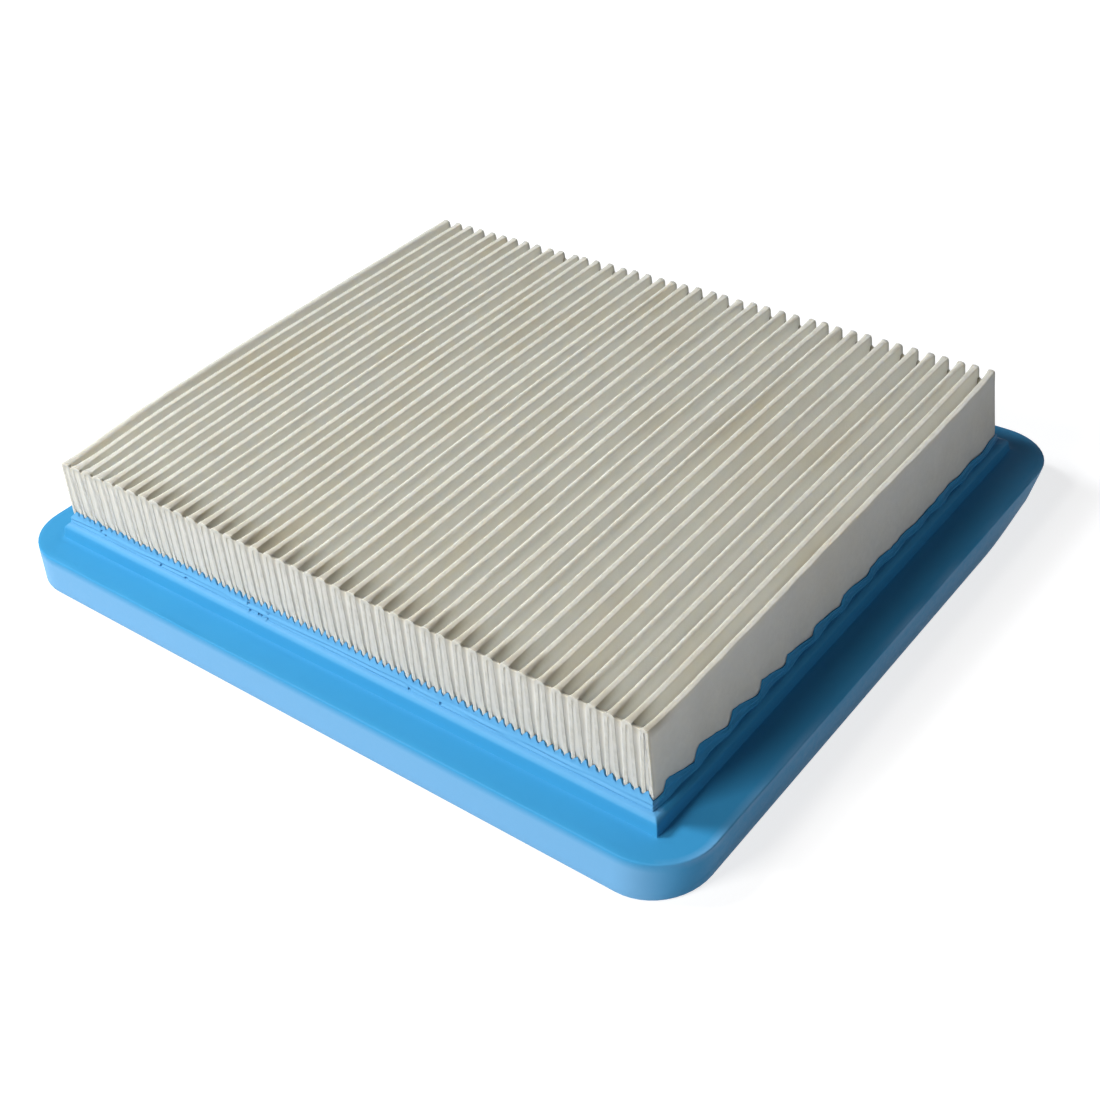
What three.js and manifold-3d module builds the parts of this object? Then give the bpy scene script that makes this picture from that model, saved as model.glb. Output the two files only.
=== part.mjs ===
// A flat panel air filter element for a small petrol engine.
// One sheet of filter paper, folded into upright pleats, stands in a soft
// polyurethane frame that seals the element in its air box.
//
// Millimetres. X runs across the pleats, Y runs along them, and Z is up.
// The origin is on the underside of the frame, below the middle of the element.

import * as THREE from 'three';
import { mergeVertices } from 'three/addons/utils/BufferGeometryUtils.js';
import Module from 'manifold-3d';

// The frame's flange, which the air box clamps, and how far it reaches out
// from the paper pack on all four sides.
const FLANGE_LENGTH = 133;
const FLANGE_WIDTH = 113;
const FLANGE_THICKNESS = 6.8;
const FLANGE_REACH = 8.5;
const FLANGE_CORNER_RADIUS = 9.2;
const FLANGE_DRAFT = 0.6;
const FLANGE_EDGE_RADIUS = 0.5;

// The frame's curb, a stepped wall that grips the paper pack: a wide step with
// a thinner band above it. The band stands out further at the ends of the
// pleats than at the sides of the pack.
const CURB_STEP_HEIGHT = 2.2;
const CURB_STEP_WIDTH = 1.35;
const CURB_STEP_DRAFT = 0.4;
const CURB_BAND_HEIGHT = 2.2;
const CURB_BAND_DRAFT = 0.2;
const CURB_SIDE_WALL = 0.9;
const CURB_END_WALL = 1.3;

// The lip below the pack, and the clearance round the pack.
const LIP_THICKNESS = 1.5;
const LIP_WIDTH = 3;
const PACK_CLEARANCE = 0.3;

// The folded sheet, with the hollow that is left inside its folds.
const PACK_HEIGHT = 19.6;
const PLEAT_COUNT = 42;
const PAPER_THICKNESS = 0.45;
const RIDGE_HOLLOW = 0.15;
const VALLEY_HOLLOW = 0.2;

// The adhesive that closes the pleats along both long edges of the sheet.
const BEAD_WIDTH = 3;
const BEAD_BRIDGE = 0.5;
const BEAD_TIP_WIDTH = 0.25;
const BEAD_GAP = 0.05;
const BEAD_LIP_GAP = 0.15;

// Sizes and places that follow from those.
const PACK_LENGTH = FLANGE_LENGTH - 2 * FLANGE_REACH;
const PACK_WIDTH = FLANGE_WIDTH - 2 * FLANGE_REACH;
const PACK_END = PACK_WIDTH / 2;
const STEP_TOP = FLANGE_THICKNESS + CURB_STEP_HEIGHT;
const CURB_TOP = STEP_TOP + CURB_BAND_HEIGHT;
const BRIDGE_BOTTOM = LIP_THICKNESS + BEAD_LIP_GAP;
const BRIDGE_TOP = BRIDGE_BOTTOM + BEAD_BRIDGE;
const PACK_BASE = BRIDGE_TOP + BEAD_GAP;
const PACK_TOP = PACK_BASE + PACK_HEIGHT;

// The middle of the paper: its highest and lowest lines, and how far each
// wall stands from its pleat's centre at the ridge and at the foot.
const HALF_PAPER = PAPER_THICKNESS / 2;
const RIDGE_WIDTH = RIDGE_HOLLOW + 2 * PAPER_THICKNESS;
const PLEAT_PITCH = (PACK_LENGTH - RIDGE_WIDTH) / (PLEAT_COUNT - 1);
const RIDGE_LINE = PACK_TOP - HALF_PAPER;
const FOOT_LINE = PACK_BASE + HALF_PAPER;
const RIDGE_REACH = RIDGE_HOLLOW / 2 + HALF_PAPER;
const FOOT_REACH = PLEAT_PITCH / 2 - VALLEY_HOLLOW / 2 - HALF_PAPER;
const FOLD_BEVEL = RIDGE_REACH / 2;

const CORNER_STEPS = 12;
const EDGE_STEPS = 2;
const CUT_MARGIN = 1;

const wasm = await Module();
wasm.setup();

// A solid for joining and cutting, from a closed three.js geometry.
function solidOf(geometry) {
  const bare = geometry.clone();
  bare.deleteAttribute('normal');
  bare.deleteAttribute('uv');
  const merged = mergeVertices(bare);
  return new wasm.Manifold(new wasm.Mesh({
    numProp: 3,
    vertProperties: new Float32Array(merged.attributes.position.array),
    triVerts: new Uint32Array(merged.index.array),
  }));
}

// A three.js geometry from a joined and cut solid.
function geometryOf(solid) {
  const mesh = solid.getMesh();
  const geometry = new THREE.BufferGeometry();
  geometry.setAttribute('position', new THREE.BufferAttribute(mesh.vertProperties, 3));
  geometry.setIndex(new THREE.BufferAttribute(mesh.triVerts, 1));
  const facets = geometry.toNonIndexed();
  facets.computeVertexNormals();
  return facets;
}

// A centred box between two heights.
function block(length, width, bottom, top) {
  const geometry = new THREE.BoxGeometry(length, width, top - bottom);
  return geometry.translate(0, 0, (bottom + top) / 2);
}

// Leans the sides of a centred body inwards by an inset that starts from
// nothing at one height and is whole at another.
function applyDraft(geometry, inset, startHeight, endHeight) {
  const position = geometry.attributes.position;
  for (let i = 0; i < position.count; i += 1) {
    const share = (position.getZ(i) - startHeight) / (endHeight - startHeight);
    const shift = inset * THREE.MathUtils.clamp(share, 0, 1);
    position.setX(i, position.getX(i) - Math.sign(position.getX(i)) * shift);
    position.setY(i, position.getY(i) - Math.sign(position.getY(i)) * shift);
  }
  return geometry;
}

// A centred rectangle with round corners.
function roundedRectangle(length, width, radius) {
  const x = length / 2 - radius;
  const y = width / 2 - radius;
  const shape = new THREE.Shape();
  shape.absarc(x, y, radius, 0, Math.PI / 2);
  shape.absarc(-x, y, radius, Math.PI / 2, Math.PI);
  shape.absarc(-x, -y, radius, Math.PI, Math.PI * 1.5);
  shape.absarc(x, -y, radius, Math.PI * 1.5, Math.PI * 2);
  return shape;
}

// The flange: a flat plate with round corners, soft edges and drafted sides.
function flange() {
  const edge = FLANGE_EDGE_RADIUS;
  const outline = roundedRectangle(
    FLANGE_LENGTH - 2 * edge,
    FLANGE_WIDTH - 2 * edge,
    FLANGE_CORNER_RADIUS - edge,
  );
  const geometry = new THREE.ExtrudeGeometry(outline, {
    depth: FLANGE_THICKNESS - 2 * edge,
    bevelSize: edge,
    bevelThickness: edge,
    bevelSegments: EDGE_STEPS,
    curveSegments: CORNER_STEPS,
  });
  geometry.translate(0, 0, edge);
  return applyDraft(geometry, FLANGE_DRAFT, FLANGE_THICKNESS - edge, 0);
}

// A block that stands outside the paper pack by one distance at the sides of
// the pack and another at the ends of the pleats.
function roundPack(sideOffset, endOffset, bottom, top) {
  return block(PACK_LENGTH + 2 * sideOffset, PACK_WIDTH + 2 * endOffset, bottom, top);
}

// The frame: flange and curb in one moulding, open where the pack sits.
function frame() {
  const stepSide = CURB_SIDE_WALL + CURB_STEP_WIDTH;
  const stepEnd = CURB_END_WALL + CURB_STEP_WIDTH;
  const stepBottom = FLANGE_THICKNESS - CUT_MARGIN;
  const step = roundPack(stepSide, stepEnd, stepBottom, STEP_TOP);
  applyDraft(step, CURB_STEP_DRAFT, stepBottom, STEP_TOP);
  const band = roundPack(CURB_SIDE_WALL, CURB_END_WALL, STEP_TOP - CUT_MARGIN, CURB_TOP);
  applyDraft(band, CURB_BAND_DRAFT, STEP_TOP - CUT_MARGIN, CURB_TOP);
  const pocket = roundPack(PACK_CLEARANCE, PACK_CLEARANCE, LIP_THICKNESS, CURB_TOP + CUT_MARGIN);
  const airWindow = roundPack(-LIP_WIDTH, -LIP_WIDTH, -CUT_MARGIN, LIP_THICKNESS + CUT_MARGIN);
  return geometryOf(
    solidOf(flange())
      .add(solidOf(step))
      .add(solidOf(band))
      .subtract(solidOf(pocket))
      .subtract(solidOf(airWindow)),
  );
}

// One pleat's centre, and where the middle of each of its walls meets the foot.
// The outer walls of the first and last pleats stand upright against the frame.
function pleatAt(index) {
  const centre = (index - (PLEAT_COUNT - 1) / 2) * PLEAT_PITCH;
  const isFirst = index === 0;
  const isLast = index === PLEAT_COUNT - 1;
  return {
    centre,
    isFirst,
    isLast,
    leftFoot: centre - (isFirst ? RIDGE_REACH : FOOT_REACH),
    rightFoot: centre + (isLast ? RIDGE_REACH : FOOT_REACH),
  };
}

const pleats = Array.from({ length: PLEAT_COUNT }, (_, index) => pleatAt(index));

// The line that the middle of the paper follows over one pleat, foot to foot.
function pleatLine({ centre, isFirst, isLast, leftFoot, rightFoot }) {
  const leftStart = isFirst
    ? [new THREE.Vector2(leftFoot, PACK_BASE)]
    : [
      new THREE.Vector2(leftFoot - FOLD_BEVEL / 2, FOOT_LINE),
      new THREE.Vector2(leftFoot, FOOT_LINE + FOLD_BEVEL),
    ];
  const rightEnd = isLast
    ? [new THREE.Vector2(rightFoot, PACK_BASE)]
    : [
      new THREE.Vector2(rightFoot, FOOT_LINE + FOLD_BEVEL),
      new THREE.Vector2(rightFoot + FOLD_BEVEL / 2, FOOT_LINE),
    ];
  return [
    ...leftStart,
    new THREE.Vector2(centre - RIDGE_REACH, RIDGE_LINE - FOLD_BEVEL),
    new THREE.Vector2(centre - RIDGE_REACH + FOLD_BEVEL, RIDGE_LINE),
    new THREE.Vector2(centre + RIDGE_REACH - FOLD_BEVEL, RIDGE_LINE),
    new THREE.Vector2(centre + RIDGE_REACH, RIDGE_LINE - FOLD_BEVEL),
    ...rightEnd,
  ];
}

// A line moved to its left by a distance, with mitred corners.
function offsetLine(line, distance) {
  return line.map((point, index) => {
    const before = line[index - 1] ?? point;
    const after = line[index + 1] ?? point;
    const arriving = point.clone().sub(before).normalize();
    const leaving = after.clone().sub(point).normalize();
    const along = arriving.clone().add(leaving).normalize();
    const run = index === 0 ? leaving : arriving;
    return new THREE.Vector2(-along.y, along.x)
      .multiplyScalar(distance / along.dot(run))
      .add(point);
  });
}

// An XZ outline extruded along Y between two places.
function extrudeAlongPleats(outline, nearY, farY) {
  const geometry = new THREE.ExtrudeGeometry(new THREE.Shape(outline), {
    depth: farY - nearY,
    bevelEnabled: false,
  });
  geometry.rotateX(Math.PI / 2);
  return geometry.translate(0, farY, 0);
}

// The filter paper: one sheet of even thickness, folded up and down.
function pleatedPaper() {
  const line = pleats.flatMap(pleatLine);
  const upper = offsetLine(line, HALF_PAPER);
  const lower = offsetLine(line, -HALF_PAPER);
  return extrudeAlongPleats([...lower, ...upper.reverse()], -PACK_END, PACK_END);
}

// How far below the ridge line a pleat's hollow is wide enough for the adhesive.
function beadDrop(leftFoot, rightFoot) {
  const depth = RIDGE_LINE - FOOT_LINE;
  const ridgeSpan = 2 * RIDGE_REACH;
  const footSpan = rightFoot - leftFoot;
  const wantedSpan = BEAD_TIP_WIDTH + 2 * BEAD_GAP + PAPER_THICKNESS;
  const drop = depth * (wantedSpan - ridgeSpan) / (footSpan - ridgeSpan);
  return Math.max(drop, PAPER_THICKNESS + FOLD_BEVEL);
}

// The outline of one finger of adhesive, which fills the hollow of a pleat.
function beadFinger({ centre, leftFoot, rightFoot }) {
  const inset = HALF_PAPER + BEAD_GAP;
  const drop = beadDrop(leftFoot, rightFoot);
  const share = drop / (RIDGE_LINE - FOOT_LINE);
  const leftTip = THREE.MathUtils.lerp(centre - RIDGE_REACH, leftFoot, share);
  const rightTip = THREE.MathUtils.lerp(centre + RIDGE_REACH, rightFoot, share);
  return [
    new THREE.Vector2(leftFoot + inset, BRIDGE_TOP),
    new THREE.Vector2(leftTip + inset, RIDGE_LINE - drop),
    new THREE.Vector2(rightTip - inset, RIDGE_LINE - drop),
    new THREE.Vector2(rightFoot - inset, BRIDGE_TOP),
  ];
}

// The adhesive bead along one edge of the sheet: a finger up inside each pleat,
// joined below the folds because the bead is laid before the sheet is folded.
function edgeBead(nearY, farY) {
  const fingers = pleats.flatMap(beadFinger);
  const outline = [
    new THREE.Vector2(fingers.at(0).x, BRIDGE_BOTTOM),
    ...fingers,
    new THREE.Vector2(fingers.at(-1).x, BRIDGE_BOTTOM),
  ];
  return extrudeAlongPleats(outline.reverse(), nearY, farY);
}

// A named sub-part with its own finish.
function subPart(name, geometry, color, roughness) {
  const material = new THREE.MeshStandardMaterial({ color, roughness, metalness: 0 });
  const mesh = new THREE.Mesh(geometry, material);
  mesh.name = name;
  return mesh;
}

const frontBead = edgeBead(-PACK_END, BEAD_WIDTH - PACK_END);
const rearBead = edgeBead(PACK_END - BEAD_WIDTH, PACK_END);

const airFilter = new THREE.Group();
airFilter.add(subPart('frame', frame(), '#46a6e0', 0.5));
airFilter.add(subPart('pleated_paper', pleatedPaper(), '#e4e0cf', 0.95));
airFilter.add(subPart('edge_bead_front', frontBead, '#e9e6da', 0.6));
airFilter.add(subPart('edge_bead_rear', rearBead, '#e9e6da', 0.6));

export default airFilter;
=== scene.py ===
import bisect
import math
import random

import bmesh
import bpy
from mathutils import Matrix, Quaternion, Vector, noise


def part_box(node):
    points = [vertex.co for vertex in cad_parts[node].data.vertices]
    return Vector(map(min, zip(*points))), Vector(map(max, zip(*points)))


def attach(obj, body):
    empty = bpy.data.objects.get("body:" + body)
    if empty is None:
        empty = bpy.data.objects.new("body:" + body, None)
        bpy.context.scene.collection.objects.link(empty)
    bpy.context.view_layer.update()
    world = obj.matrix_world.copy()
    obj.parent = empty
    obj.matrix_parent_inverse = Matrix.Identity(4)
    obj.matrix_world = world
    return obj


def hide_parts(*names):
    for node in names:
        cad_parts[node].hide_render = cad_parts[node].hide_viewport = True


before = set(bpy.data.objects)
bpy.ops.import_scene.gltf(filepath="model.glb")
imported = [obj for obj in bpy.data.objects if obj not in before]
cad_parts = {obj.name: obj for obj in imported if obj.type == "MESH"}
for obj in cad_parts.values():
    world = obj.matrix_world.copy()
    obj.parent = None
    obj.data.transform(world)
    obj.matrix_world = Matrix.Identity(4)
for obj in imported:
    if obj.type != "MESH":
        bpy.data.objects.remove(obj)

bl_info = {
    "name": "Panel Air Filter",
    "version": (1, 0, 0),
    "blender": (4, 5, 0),
    "location": "View3D > Sidebar > Air Filter",
    "description": "Builds a pleated paper filter element in a moulded polyurethane frame",
    "category": "Add Mesh",
}

# One millimetre. Every size below is a real size of the element, in millimetres.
MM = 0.001

# The model's own places: the far corner of the frame's box, and the paper pack's and front bead's
# boxes.
FRAME_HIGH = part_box("frame")[1]
PACK_LOW, PACK_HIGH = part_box("pleated_paper")
BEAD_LOW, BEAD_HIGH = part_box("edge_bead_front")
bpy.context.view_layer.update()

BODY = "root"


def colour(hex_code):
    """A linear colour with full alpha from an sRGB hex code."""
    channels = []
    for start in (1, 3, 5):
        value = int(hex_code[start:start + 2], 16) / 255
        linear = value / 12.92 if value <= 0.04045 else ((value + 0.055) / 1.055) ** 2.4
        channels.append(linear)
    return (*channels, 1.0)


def clamp(value):
    """The value, kept from 0 to 1."""
    return min(max(value, 0.0), 1.0)


def ease(value):
    """Goes smoothly from 0 to 1 while the value goes from 0 to 1, and stays there."""
    value = clamp(value)
    return value * value * (3 - 2 * value)


def between(first, second, share):
    """The number that lies that share of the way from the first to the second."""
    return first + (second - first) * share


# Stands in for each number that a call to wander leaves out.
SPARE_PLACE = 0.37


def wander(*place):
    """Smooth noise from -1 to 1 at up to three numbers.

    A number that is a pleat's, a lobe's, a side's or an end's own, times some factor, gives each
    of them a stretch of noise of its own.
    """
    numbers = list(place) + [SPARE_PLACE] * (3 - len(place))
    return noise.noise(Vector(numbers))


# ---------------------------------------------------------------------------
# Sizes and colours
# ---------------------------------------------------------------------------


class PaperSizes(bpy.types.PropertyGroup):
    """The folded filter paper."""

    pleat_count: bpy.props.IntProperty(
        name="Pleats",
        description="How many ridges the folded sheet has",
        default=42,
        min=4,
    )
    thickness: bpy.props.FloatProperty(
        name="Paper Thickness",
        description="Thickness of the filter paper",
        default=0.45 * MM,
        unit="LENGTH",
    )
    cut_thickness: bpy.props.FloatProperty(
        name="Cut Edge Thickness",
        description="Thickness of the paper where the knife has frayed its cut edges",
        default=0.6 * MM,
        unit="LENGTH",
    )
    ridge_width: bpy.props.FloatProperty(
        name="Ridge Width",
        description="Outer width of a fold at its ridge",
        default=0.9 * MM,
        unit="LENGTH",
    )
    end_ridge_width: bpy.props.FloatProperty(
        name="Ridge Width at the Ends",
        description="Outer width of a fold's ridge at its two glued ends",
        default=1.5 * MM,
        unit="LENGTH",
    )
    valley_hollow: bpy.props.FloatProperty(
        name="Valley Hollow",
        description="Open width at the bottom of a valley between two folds",
        default=0.2 * MM,
        unit="LENGTH",
    )
    front_wander: bpy.props.FloatProperty(
        name="Front Ridge Wander",
        description="How far a ridge may stand from its even place at the front end",
        default=0.12 * MM,
        unit="LENGTH",
    )
    back_wander: bpy.props.FloatProperty(
        name="Back Ridge Wander",
        description="How far a ridge may stand from its even place at the back end",
        default=0.34 * MM,
        unit="LENGTH",
    )
    crown: bpy.props.FloatProperty(
        name="Crown",
        description="How far the rear of the pack stands above its nominal height",
        default=0.85 * MM,
        unit="LENGTH",
    )
    droop: bpy.props.FloatProperty(
        name="Corner Droop",
        description="How far the pack sags at its front left corner",
        default=0.9 * MM,
        unit="LENGTH",
    )
    side_bulge: bpy.props.FloatProperty(
        name="Side Bulge",
        description="How far the left side of the pack leans out at its ridge",
        default=0.9 * MM,
        unit="LENGTH",
    )
    glue_level: bpy.props.FloatProperty(
        name="Glue Level",
        description="How far below the ridges the glue between the pleats ends",
        default=0.55 * MM,
        unit="LENGTH",
    )
    glue_depth: bpy.props.FloatProperty(
        name="Glue Depth",
        description="How far in from the cut ends the glue between the pleats reaches",
        default=1.1 * MM,
        unit="LENGTH",
    )
    seed: bpy.props.IntProperty(
        name="Seed",
        description="Picks one set of uneven folds",
        default=42,
    )
    paper: bpy.props.FloatVectorProperty(
        name="Paper",
        description="Colour of the clean filter paper",
        subtype="COLOR",
        size=4,
        min=0.0,
        max=1.0,
        default=colour("#F5F3E8"),
    )
    tint: bpy.props.FloatVectorProperty(
        name="Resin Tint",
        description="Colour of the patches that took up more resin",
        subtype="COLOR",
        size=4,
        min=0.0,
        max=1.0,
        default=colour("#EEE4CE"),
    )
    glue: bpy.props.FloatVectorProperty(
        name="Glue",
        description="Colour of the glue inside the pleat ends",
        subtype="COLOR",
        size=4,
        min=0.0,
        max=1.0,
        default=colour("#C6C4BB"),
    )
    # Painted shade: this tan is painted on ridges behind the front ends and on the glue's top.
    painted_shade_tone: bpy.props.FloatVectorProperty(
        name="Soaked Paper",
        description="Colour of the paper that soaked up glue near its ends",
        subtype="COLOR",
        size=4,
        min=0.0,
        max=1.0,
        default=colour("#B9B4A6"),
    )
    # Painted shade: this grey is painted on the ridges, the cut edges and the pack's outer walls.
    crease: bpy.props.FloatVectorProperty(
        name="Crease",
        description="Colour of the paper along its folds and its cut edges",
        subtype="COLOR",
        size=4,
        min=0.0,
        max=1.0,
        default=colour("#B1AFA6"),
    )


class FrameSizes(bpy.types.PropertyGroup):
    """The moulded frame."""

    flange_height: bpy.props.FloatProperty(
        name="Flange Height",
        description="Height of the flange that the air box clamps",
        default=6.8 * MM,
        unit="LENGTH",
    )
    corner_radius: bpy.props.FloatProperty(
        name="Corner Radius",
        description="Radius of the flange's four corners",
        default=9.2 * MM,
        unit="LENGTH",
    )
    draft: bpy.props.FloatProperty(
        name="Draft",
        description="How far the flange's sides lean in over its height",
        default=0.6 * MM,
        unit="LENGTH",
    )
    edge_radius: bpy.props.FloatProperty(
        name="Lower Edge Radius",
        description="Radius of the flange's lower edge",
        default=0.5 * MM,
        unit="LENGTH",
    )
    rim_radius: bpy.props.FloatProperty(
        name="Upper Edge Radius",
        description="Radius of the flange's upper edge",
        default=0.28 * MM,
        unit="LENGTH",
    )
    foot_reach: bpy.props.FloatProperty(
        name="Curb Foot",
        description="How far the foot of the curb stands out from the pack's sides",
        default=2.2 * MM,
        unit="LENGTH",
    )
    ledge_height: bpy.props.FloatProperty(
        name="Ledge Height",
        description="Height of the curb's ledge above the underside",
        default=9.0 * MM,
        unit="LENGTH",
    )
    band_height: bpy.props.FloatProperty(
        name="Band Height",
        description="Height above the underside where the band ends on the paper",
        default=10.9 * MM,
        unit="LENGTH",
    )
    lobe_spacing: bpy.props.FloatProperty(
        name="Lobe Spacing",
        description="Spacing of the lobes that crept up the pack's sides",
        default=7.45 * MM,
        unit="LENGTH",
    )
    lip_width: bpy.props.FloatProperty(
        name="Lip Width",
        description="How far the lip reaches in below the pack",
        default=3.0 * MM,
        unit="LENGTH",
    )
    lip_height: bpy.props.FloatProperty(
        name="Lip Height",
        description="Thickness of the lip below the pack",
        default=1.5 * MM,
        unit="LENGTH",
    )
    moulding: bpy.props.FloatVectorProperty(
        name="Moulding",
        description="Colour of the polyurethane",
        subtype="COLOR",
        size=4,
        min=0.0,
        max=1.0,
        default=colour("#368CBC"),
    )
    # Painted light: pale sheen on the lit sides and end bands, and highlights on the right upper
    # edge.
    painted_sheen_colour: bpy.props.FloatVectorProperty(
        name="Bloom",
        description="Colour of the flange's sides, which were cast against the mould",
        subtype="COLOR",
        size=4,
        min=0.0,
        max=1.0,
        default=colour("#68A0CA"),
    )
    bubbles: bpy.props.IntProperty(
        name="Bubbles",
        description="How many bubbles burst along the front of the band",
        default=13,
        min=0,
    )


class StudioSizes(bpy.types.PropertyGroup):
    """The floor, the lights and the camera."""

    key_power: bpy.props.FloatProperty(
        name="Key",
        description="Power of the large soft light at the front left",
        default=12.4,
        min=0.0,
        unit="POWER",
    )
    top_power: bpy.props.FloatProperty(
        name="Top",
        description="Power of the soft light overhead",
        default=4.45,
        min=0.0,
        unit="POWER",
    )
    card_power: bpy.props.FloatProperty(
        name="Card",
        description="Power of the weak light that a white card throws back from the right",
        default=0.45,
        min=0.0,
        unit="POWER",
    )
    sky: bpy.props.FloatProperty(
        name="Room Light",
        description="Strength of the even light from the room",
        default=0.048,
        min=0.0,
    )
    azimuth: bpy.props.FloatProperty(
        name="Azimuth",
        description="Turn of the camera round the element from its front",
        default=math.radians(41.78),
        subtype="ANGLE",
        unit="ROTATION",
    )
    elevation: bpy.props.FloatProperty(
        name="Elevation",
        description="Height angle of the camera above the floor",
        default=math.radians(37.21),
        subtype="ANGLE",
        unit="ROTATION",
    )
    roll: bpy.props.FloatProperty(
        name="Roll",
        description="Tilt of the camera about its line of sight",
        default=math.radians(-6.22),
        subtype="ANGLE",
        unit="ROTATION",
    )
    distance: bpy.props.FloatProperty(
        name="Distance",
        description="Distance from the camera to the point it aims at",
        default=256.8 * MM,
        unit="LENGTH",
    )
    lens: bpy.props.FloatProperty(
        name="Lens",
        description="Focal length of the camera, in millimetres",
        default=51.0,
        unit="CAMERA",
    )
    aim: bpy.props.FloatVectorProperty(
        name="Aim",
        description="Point on the floor that the camera aims at",
        subtype="XYZ",
        unit="LENGTH",
        default=(5.85 * MM, -4.10 * MM, 0.0),
    )


# ---------------------------------------------------------------------------
# Materials
# ---------------------------------------------------------------------------


def add_node(tree, kind, settings=None, links=None):
    """Adds a node, sets its options and sockets, and links sockets of other nodes to its inputs.

    A Mix node's colours are its sockets 6 and 7, and its mixed colour is its output 2.
    """
    node = tree.nodes.new(kind)
    for name, value in (settings or {}).items():
        if isinstance(name, int) or name in node.inputs:
            node.inputs[name].default_value = value
        else:
            setattr(node, name, value)
    for name, source in (links or {}).items():
        tree.links.new(source, node.inputs[name])
    return node


def new_material(name):
    """An empty node material and its tree."""
    material = bpy.data.materials.new(name)
    material.use_nodes = True
    material.node_tree.nodes.clear()
    return material, material.node_tree


def seen_share(tree):
    """1 for rays from the eye, a reflection or a view through glass, and 0 for other light."""
    rays = add_node(tree, "ShaderNodeLightPath").outputs
    seen = add_node(
        tree,
        "ShaderNodeMath",
        {"operation": "ADD"},
        {0: rays["Is Camera Ray"], 1: rays["Is Glossy Ray"]},
    )
    seen = add_node(
        tree,
        "ShaderNodeMath",
        {"operation": "ADD", "use_clamp": True},
        {0: seen.outputs[0], 1: rays["Is Transmission Ray"]},
    )
    return seen.outputs[0]


# How far light spreads inside paper and glue. Red goes furthest and blue the least.
SCATTER_RADIUS = (1.0, 0.92, 0.78)
SCATTER_SCALE = 1.0 * MM


def filter_paper_material(sizes):
    """Wet-laid cellulose filter paper, impregnated with resin.

    A matt, warm off-white sheet: cloudy where the fibres lie thicker, a little tan where the
    resin pooled, and grainy with fibres. Thin enough for light to pass into the folds.
    """
    material, tree = new_material("Wet-laid filter paper")
    place = add_node(tree, "ShaderNodeTexCoord").outputs["Object"]
    # Clouds of thicker and thinner pulp, about 5 mm across.
    clouds = add_node(
        tree,
        "ShaderNodeTexNoise",
        {"Scale": 1 / (5 * MM), "Detail": 3.0, "Roughness": 0.55},
        {"Vector": place},
    )
    # Patches that took up more resin, about 9 mm across, drawn out along the folds.
    stretched = add_node(
        tree, "ShaderNodeMapping", {"Scale": (1.0, 0.35, 0.5)}, {"Vector": place}
    )
    patches = add_node(
        tree,
        "ShaderNodeTexNoise",
        {"Scale": 1 / (9 * MM), "Detail": 2.0, "Roughness": 0.5},
        {"Vector": stretched.outputs["Vector"]},
    )
    patch_share = add_node(
        tree,
        "ShaderNodeMapRange",
        {"From Min": 0.5, "From Max": 0.75, "To Min": 0.0, "To Max": 0.5},
        {"Value": patches.outputs["Fac"]},
    )
    tinted = add_node(
        tree,
        "ShaderNodeMix",
        {"data_type": "RGBA", 6: tuple(sizes.paper), 7: tuple(sizes.tint)},
        {0: patch_share.outputs["Result"]},
    )
    cloud_share = add_node(
        tree,
        "ShaderNodeMapRange",
        {"From Min": 0.3, "From Max": 0.7, "To Min": 0.0, "To Max": 0.16},
        {"Value": clouds.outputs["Fac"]},
    )
    clouded = add_node(
        tree,
        "ShaderNodeMix",
        {"data_type": "RGBA", 7: colour("#DEDCD6")},
        {0: cloud_share.outputs["Result"], 6: tinted.outputs[2]},
    )
    # Painted shade: the lit ridges and cut edges are greyed, in dashes about 1 mm long.
    crease = add_node(tree, "ShaderNodeAttribute", {"attribute_name": "crease"})
    dashes = add_node(
        tree,
        "ShaderNodeTexNoise",
        {"Scale": 1 / (1.1 * MM), "Detail": 1.0, "Roughness": 0.5},
        {"Vector": place},
    )
    dash_share = add_node(
        tree,
        "ShaderNodeMapRange",
        {"From Min": 0.3, "From Max": 0.7, "To Min": 1.0, "To Max": 0.82},
        {"Value": dashes.outputs["Fac"]},
    )
    painted_mask = add_node(
        tree,
        "ShaderNodeMath",
        {"operation": "MULTIPLY", "use_clamp": True},
        {0: crease.outputs["Fac"], 1: dash_share.outputs["Result"]},
    )
    painted_mark = add_node(
        tree,
        "ShaderNodeMix",
        {"data_type": "RGBA", 7: tuple(sizes.crease)},
        {0: painted_mask.outputs[0], 6: clouded.outputs[2]},
    )
    # Painted shade: the ridges just behind the front ends are darkened to a tan.
    painted_shade_tone = add_node(tree, "ShaderNodeAttribute", {"attribute_name": "painted_shade_tone"})
    shade_toned = add_node(
        tree,
        "ShaderNodeMix",
        {"data_type": "RGBA", 7: tuple(sizes.painted_shade_tone)},
        {0: painted_shade_tone.outputs["Fac"], 6: painted_mark.outputs[2]},
    )
    # The fibres are about 0.03 mm thick, too fine to show, so they are drawn 0.3 mm across.
    fibres = add_node(
        tree,
        "ShaderNodeTexNoise",
        {"Scale": 1 / (0.6 * MM), "Detail": 4.0, "Roughness": 0.65},
        {"Vector": place},
    )
    bump = add_node(
        tree,
        "ShaderNodeBump",
        {"Strength": 0.35, "Distance": 0.12 * MM},
        {"Height": fibres.outputs["Fac"]},
    )
    surface = add_node(
        tree,
        "ShaderNodeBsdfPrincipled",
        {
            "Roughness": 0.85,
            "IOR": 1.47,
            "Specular IOR Level": 0.2,
            "Subsurface Weight": 1.0,
            "Subsurface Radius": SCATTER_RADIUS,
            "Subsurface Scale": SCATTER_SCALE,
        },
        {"Base Color": shade_toned.outputs[2], "Normal": bump.outputs["Normal"]},
    )
    add_node(
        tree, "ShaderNodeOutputMaterial", None, {"Surface": surface.outputs["BSDF"]}
    )
    return material


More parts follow.
